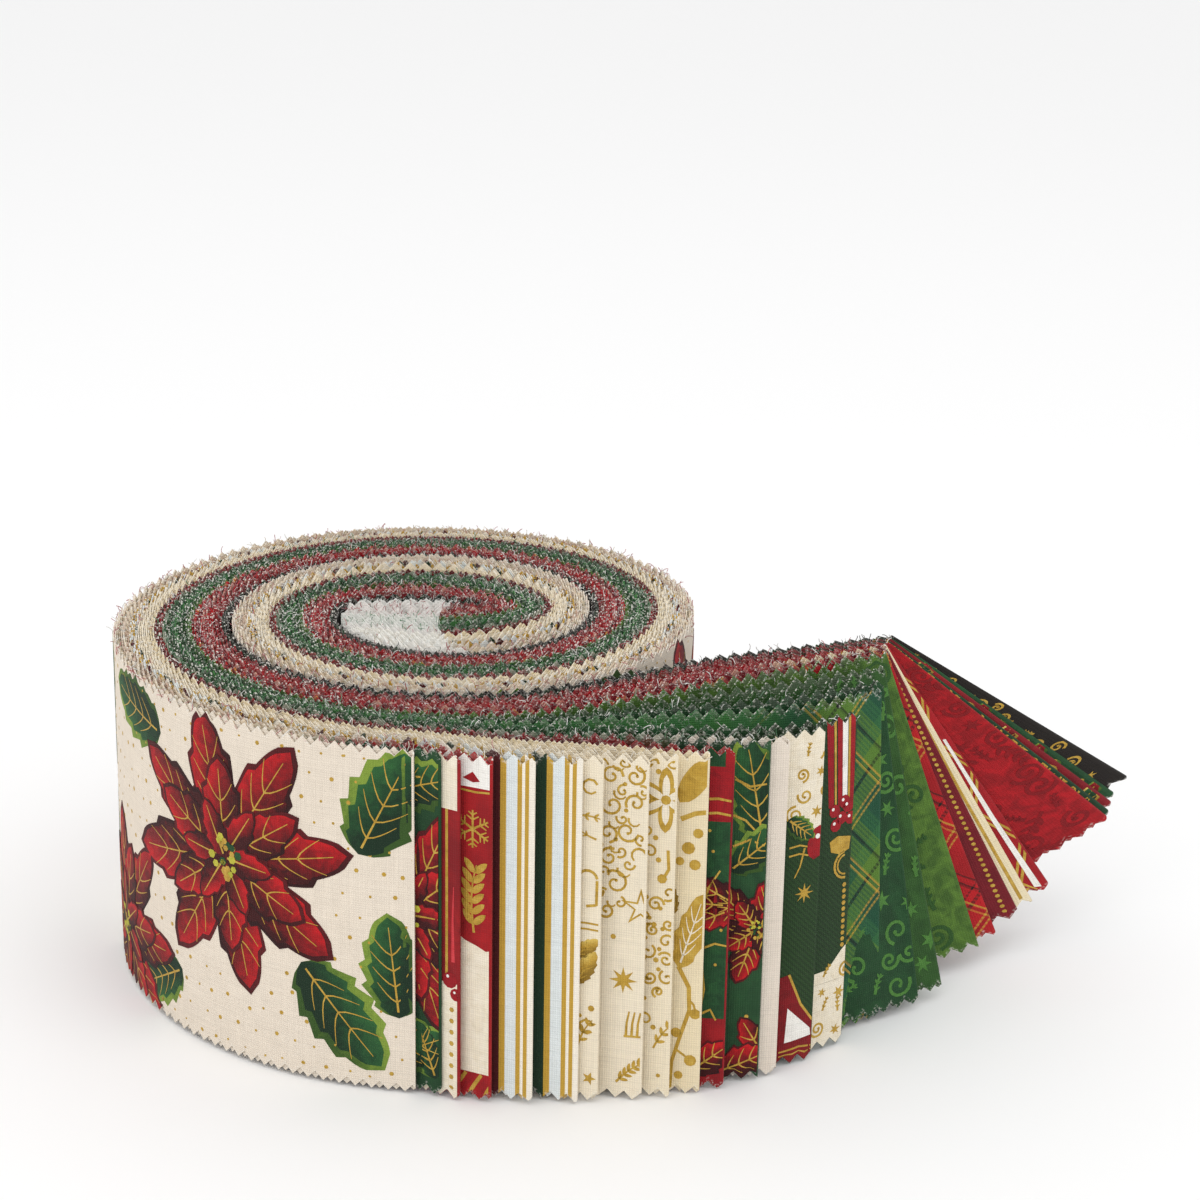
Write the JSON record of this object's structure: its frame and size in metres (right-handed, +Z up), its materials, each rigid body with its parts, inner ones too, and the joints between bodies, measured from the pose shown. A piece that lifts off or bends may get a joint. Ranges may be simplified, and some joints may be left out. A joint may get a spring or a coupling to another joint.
{
  "type": "jelly roll of fabric strips",
  "caption": "Roll of folded, pinked quilting-cotton strips standing on edge, its loose folded ends fanned out at one side.",
  "frame": {"origin": "on the table, under the eye of the roll", "axes": "+Z up along the roll's axis, +X towards the fanned loose ends, -Y towards the front where the folds show"},
  "size_m": [0.198, 0.137, 0.0635],
  "materials": {
    "cotton_cream": "plain-woven quilting cotton, cream ground with printed gold, soft matte",
    "cotton_red": "plain-woven quilting cotton, deep red print with gold lines, soft matte",
    "cotton_green": "plain-woven quilting cotton, green prints, plaid and tonal scrolls, soft matte",
    "cotton_stripe": "plain-woven quilting cotton, white and gold stripes, soft matte",
    "cotton_black": "plain-woven quilting cotton, black ground with printed gold, soft matte",
    "cotton_roll": "pinked edges of the wound strips in cream, green, red and black, fuzzy and matte"
  },
  "bodies": {
    "root": {"wound_roll": "cotton_roll", "end_01_cream_red": "cotton_cream", "end_02_red_gold": "cotton_red", "end_03_striped_red": "cotton_stripe", "end_04_striped_green": "cotton_stripe", "end_05_cream_scrolls": "cotton_cream", "end_06_cream_star": "cotton_cream", "end_07_cream_leaves": "cotton_cream", "end_08_red_green": "cotton_red", "end_09_green_red": "cotton_green", "end_10_plain_cream": "cotton_cream", "end_11_green_twill": "cotton_green", "end_12_ribbon": "cotton_red", "end_13_green_plaid": "cotton_green", "end_14_green_tonal": "cotton_green", "end_15_green_scrolls": "cotton_green", "end_16_light_green": "cotton_green", "end_17_red_plaid": "cotton_red", "end_18_maroon": "cotton_red", "end_19_red_check": "cotton_red", "end_20_red_tonal": "cotton_red", "end_21_red_leaf": "cotton_red", "end_22_black_gold": "cotton_black"}
  },
  "joints": []
}
